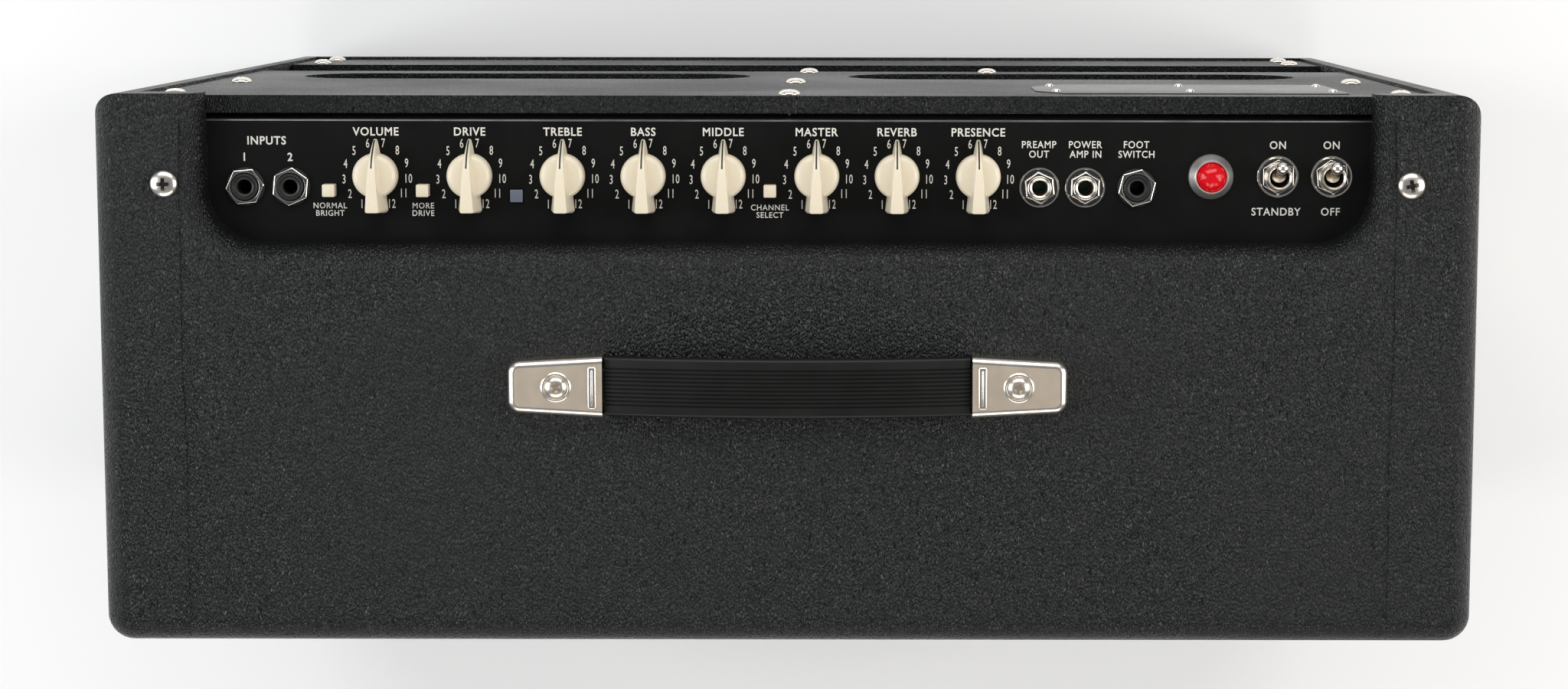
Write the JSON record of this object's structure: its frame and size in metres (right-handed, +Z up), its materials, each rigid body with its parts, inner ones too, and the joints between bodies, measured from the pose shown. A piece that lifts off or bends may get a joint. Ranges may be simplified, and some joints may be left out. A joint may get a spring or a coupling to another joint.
{
  "type": "guitar combo amplifier",
  "caption": "Guitar combo amplifier: leathercloth-covered box with a recessed top control panel, open vented back, slanted grille front and strap handle.",
  "frame": {"origin": "centre of the cabinet's footprint, on the floor under the feet", "axes": "+X to the right seen from the front, +Y to the rear, +Z up"},
  "size_m": [0.602, 0.2674, 0.4922],
  "materials": {
    "leathercloth": "black pebble-grain leathercloth",
    "rubber": "matt",
    "plywood": "bare plywood, black on the front",
    "grille": "woven grille cloth",
    "nickel": "bright nickel plate",
    "panel": "fine matt black with off-white marks",
    "steel": "plated sheet steel",
    "basket": "black gloss",
    "ferrite": "ceramic magnet",
    "paper": "pressed paper",
    "strap": "moulded, satin, grooved",
    "cream": "moulded cream",
    "black_plastic": "satin",
    "grey_plastic": "translucent",
    "jewel": "faceted red",
    "board": "green laminate",
    "capacitor": "sleeved cans",
    "core": "black lacquered laminations",
    "glass": "clear",
    "aluminium": "drawn",
    "ceramic": "glazed"
  },
  "bodies": {
    "cabinet": {"top_board": "leathercloth", "bottom_board": "leathercloth", "side_board_left": "leathercloth", "side_board_right": "leathercloth", "rubber_feet": "rubber", "baffle_board": "plywood", "grille_frame": "plywood", "grille_cloth": "grille", "speaker_basket": "basket", "speaker_magnet": "ferrite", "speaker_pole_plates": "steel", "speaker_suspension": "paper", "speaker_bolts": "steel", "back_panel_upper": "leathercloth", "back_panel_lower": "leathercloth", "panel_cleats": "plywood", "back_panel_screws": "nickel", "chassis_screws": "nickel", "handle_screws": "nickel", "rating_plate": "steel", "handle_caps": "nickel", "control_panel": "panel", "chassis_tray": "steel", "circuit_board": "board", "filter_capacitors": "capacitor", "potentiometers": "steel", "push_switches": "black_plastic", "channel_lamp": "grey_plastic", "plastic_jacks": "black_plastic", "metal_jacks": "nickel", "jack_nuts": "nickel", "toggle_cases": "nickel", "toggle_nuts": "nickel", "jewel_bezel": "nickel", "jewel_lens": "jewel", "lamp_holder": "black_plastic", "mains_inlet": "black_plastic", "power_transformer": "core", "output_transformer": "core", "tube_sockets": "ceramic", "power_tubes": "glass", "preamp_tubes": "glass", "tube_shields": "aluminium", "reverb_tank": "steel", "reverb_springs": "steel"},
    "knob_volume": {"knob_volume": "cream"},
    "knob_drive": {"knob_drive": "cream"},
    "knob_treble": {"knob_treble": "cream"},
    "knob_bass": {"knob_bass": "cream"},
    "knob_middle": {"knob_middle": "cream"},
    "knob_master": {"knob_master": "cream"},
    "knob_reverb": {"knob_reverb": "cream"},
    "knob_presence": {"knob_presence": "cream"},
    "button_bright": {"button_bright": "cream"},
    "button_more": {"button_more": "cream"},
    "button_channel": {"button_channel": "cream"},
    "toggle_standby": {"toggle_standby": "nickel"},
    "toggle_power": {"toggle_power": "nickel"},
    "cone": {"speaker_cone": "paper"},
    "strap": {"handle_strap": "strap"}
  },
  "joints": [
    {"name": "knob_volume_turn", "type": "hinge", "parent": "cabinet", "child": "knob_volume", "pos_m": [-0.1806, 0.0972, 0.4624], "axis": [0, 0, 1], "range_deg": [-150, 150]},
    {"name": "knob_drive_turn", "type": "hinge", "parent": "cabinet", "child": "knob_drive", "pos_m": [-0.1395, 0.0972, 0.4624], "axis": [0, 0, 1], "range_deg": [-150, 150]},
    {"name": "knob_treble_turn", "type": "hinge", "parent": "cabinet", "child": "knob_treble", "pos_m": [-0.0989, 0.0972, 0.4624], "axis": [0, 0, 1], "range_deg": [-150, 150]},
    {"name": "knob_bass_turn", "type": "hinge", "parent": "cabinet", "child": "knob_bass", "pos_m": [-0.0636, 0.0972, 0.4624], "axis": [0, 0, 1], "range_deg": [-150, 150]},
    {"name": "knob_middle_turn", "type": "hinge", "parent": "cabinet", "child": "knob_middle", "pos_m": [-0.0286, 0.0972, 0.4624], "axis": [0, 0, 1], "range_deg": [-150, 150]},
    {"name": "knob_master_turn", "type": "hinge", "parent": "cabinet", "child": "knob_master", "pos_m": [0.0123, 0.0972, 0.4624], "axis": [0, 0, 1], "range_deg": [-150, 150]},
    {"name": "knob_reverb_turn", "type": "hinge", "parent": "cabinet", "child": "knob_reverb", "pos_m": [0.0474, 0.0972, 0.4624], "axis": [0, 0, 1], "range_deg": [-150, 150]},
    {"name": "knob_presence_turn", "type": "hinge", "parent": "cabinet", "child": "knob_presence", "pos_m": [0.0829, 0.0972, 0.4624], "axis": [0, 0, 1], "range_deg": [-150, 150]},
    {"name": "button_bright_press", "type": "slide", "parent": "cabinet", "child": "button_bright", "axis": [0, 0, -1], "range_m": [0, 0.0025], "stiffness_N_per_m": 400, "springref_m": -0.0015},
    {"name": "button_more_press", "type": "slide", "parent": "cabinet", "child": "button_more", "axis": [0, 0, -1], "range_m": [0, 0.0025], "stiffness_N_per_m": 400, "springref_m": -0.0015},
    {"name": "button_channel_press", "type": "slide", "parent": "cabinet", "child": "button_channel", "axis": [0, 0, -1], "range_m": [0, 0.0025], "stiffness_N_per_m": 400, "springref_m": -0.0015},
    {"name": "toggle_standby_flip", "type": "hinge", "parent": "cabinet", "child": "toggle_standby", "pos_m": [0.2141, 0.097, 0.4594], "axis": [1, 0, 0], "range_deg": [0, 38]},
    {"name": "toggle_power_flip", "type": "hinge", "parent": "cabinet", "child": "toggle_power", "pos_m": [0.2377, 0.097, 0.4594], "axis": [1, 0, 0], "range_deg": [0, 38]},
    {"name": "cone_stroke", "type": "slide", "parent": "cabinet", "child": "cone", "axis": [0, -0.9984, 0.0559], "range_m": [-0.003, 0.003], "stiffness_N_per_m": 3000},
    {"name": "strap_lift", "type": "slide", "parent": "cabinet", "child": "strap", "axis": [0, 0, 1], "range_m": [0, 0.004]}
  ]
}
